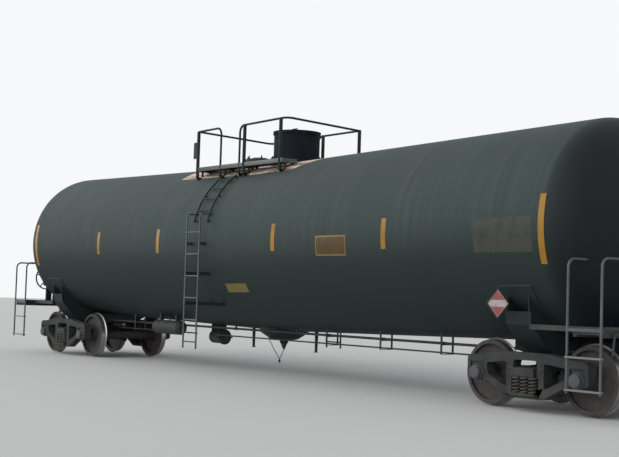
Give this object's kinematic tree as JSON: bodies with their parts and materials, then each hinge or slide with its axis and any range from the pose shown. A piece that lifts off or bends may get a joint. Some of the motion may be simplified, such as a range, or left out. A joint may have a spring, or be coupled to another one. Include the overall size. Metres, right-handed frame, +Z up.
{
  "type": "railway tank car",
  "caption": "Long railway tank car: bent sloping tank on two swivelling trucks, with ladders, railed top platform, lidded valve housing, hinged manway, end platforms and couplers.",
  "frame": {"origin": "midway between the couplers, on the track's centre line, at the bottom of the wheel flanges", "axes": "+Z up, +X along the car to the A end (the picture's right), +Y across it, away from the picture's viewer"},
  "size_m": [17.81, 3.394, 4.6095],
  "materials": {
    "tank_paint": "satin black paint, dusty on top",
    "frame_paint": "worn black paint",
    "rail_paint": "black-green paint",
    "housing_paint": "dull black paint",
    "cast_iron": "brown-black cast steel",
    "wheel_steel": "rusty forged steel, bright tread",
    "spring_steel": "rusty spring steel",
    "bearing_steel": "dull grey steel",
    "valve_steel": "stainless valves"
  },
  "bodies": {
    "car_body": {"tank_shell": "tank_paint", "stub_sill_a": "tank_paint", "body_bolster_a": "tank_paint", "coupler_a": "cast_iron", "end_platform_a": "frame_paint", "end_handrail_a": "rail_paint", "corner_ladders_a": "rail_paint", "stub_sill_b": "tank_paint", "body_bolster_b": "tank_paint", "coupler_b": "cast_iron", "end_platform_b": "frame_paint", "end_handrail_b": "rail_paint", "corner_ladders_b": "rail_paint", "hand_brake": "frame_paint", "side_ladder_near": "rail_paint", "side_ladder_far": "rail_paint", "top_platform": "frame_paint", "top_railing": "rail_paint", "valve_housing": "housing_paint", "valves": "valve_steel", "manway_nozzle": "tank_paint", "bottom_outlet": "tank_paint", "outlet_guards": "tank_paint", "brake_reservoir": "frame_paint", "brake_cylinder": "frame_paint", "brake_rods": "frame_paint", "brake_pipe": "frame_paint"},
    "truck_a": {"side_frames_a": "cast_iron", "truck_bolster_a": "cast_iron", "truck_springs_a": "spring_steel", "bearings_a": "bearing_steel", "bearing_adapters_a": "cast_iron", "brake_beams_a": "cast_iron"},
    "wheelset_a1": {"wheels_a1": "wheel_steel", "axle_a1": "wheel_steel"},
    "wheelset_a2": {"wheels_a2": "wheel_steel", "axle_a2": "wheel_steel"},
    "knuckle_a_body": {"knuckle_a": "cast_iron"},
    "truck_b": {"side_frames_b": "cast_iron", "truck_bolster_b": "cast_iron", "truck_springs_b": "spring_steel", "bearings_b": "bearing_steel", "bearing_adapters_b": "cast_iron", "brake_beams_b": "cast_iron"},
    "wheelset_b1": {"wheels_b1": "wheel_steel", "axle_b1": "wheel_steel"},
    "wheelset_b2": {"wheels_b2": "wheel_steel", "axle_b2": "wheel_steel"},
    "knuckle_b_body": {"knuckle_b": "cast_iron"},
    "manway_cover_body": {"manway_cover": "tank_paint"},
    "housing_lid_body": {"housing_lid": "housing_paint"}
  },
  "joints": [
    {"name": "truck_a_swivel", "type": "hinge", "parent": "car_body", "child": "truck_a", "pos_m": [6.87, 0, 0.65], "axis": [0, 0, 1], "range_deg": [-8, 8]},
    {"name": "wheelset_a1_roll", "type": "hinge", "parent": "truck_a", "child": "wheelset_a1", "pos_m": [7.759, 0, 0.483], "axis": [0, 1, 0], "continuous": true},
    {"name": "wheelset_a2_roll", "type": "hinge", "parent": "truck_a", "child": "wheelset_a2", "pos_m": [5.981, 0, 0.483], "axis": [0, 1, 0], "continuous": true},
    {"name": "knuckle_a_swing", "type": "hinge", "parent": "car_body", "child": "knuckle_a_body", "pos_m": [8.793, 0.148, 0.902], "axis": [0, 0, 1], "range_deg": [0, 45]},
    {"name": "truck_b_swivel", "type": "hinge", "parent": "car_body", "child": "truck_b", "pos_m": [-6.87, 0, 0.65], "axis": [0, 0, 1], "range_deg": [-8, 8]},
    {"name": "wheelset_b1_roll", "type": "hinge", "parent": "truck_b", "child": "wheelset_b1", "pos_m": [-7.759, 0, 0.483], "axis": [0, 1, 0], "continuous": true},
    {"name": "wheelset_b2_roll", "type": "hinge", "parent": "truck_b", "child": "wheelset_b2", "pos_m": [-5.981, 0, 0.483], "axis": [0, 1, 0], "continuous": true},
    {"name": "knuckle_b_swing", "type": "hinge", "parent": "car_body", "child": "knuckle_b_body", "pos_m": [-8.793, -0.148, 0.902], "axis": [0, 0, 1], "range_deg": [0, 45]},
    {"name": "manway_cover_hinge", "type": "hinge", "parent": "car_body", "child": "manway_cover_body", "pos_m": [-1.29, 0, 4.049], "axis": [0, -1, 0], "range_deg": [0, 105]},
    {"name": "housing_lid_hinge", "type": "hinge", "parent": "car_body", "child": "housing_lid_body", "pos_m": [0.2, 0.4738, 4.484], "axis": [-1, 0, 0], "range_deg": [0, 100]}
  ]
}
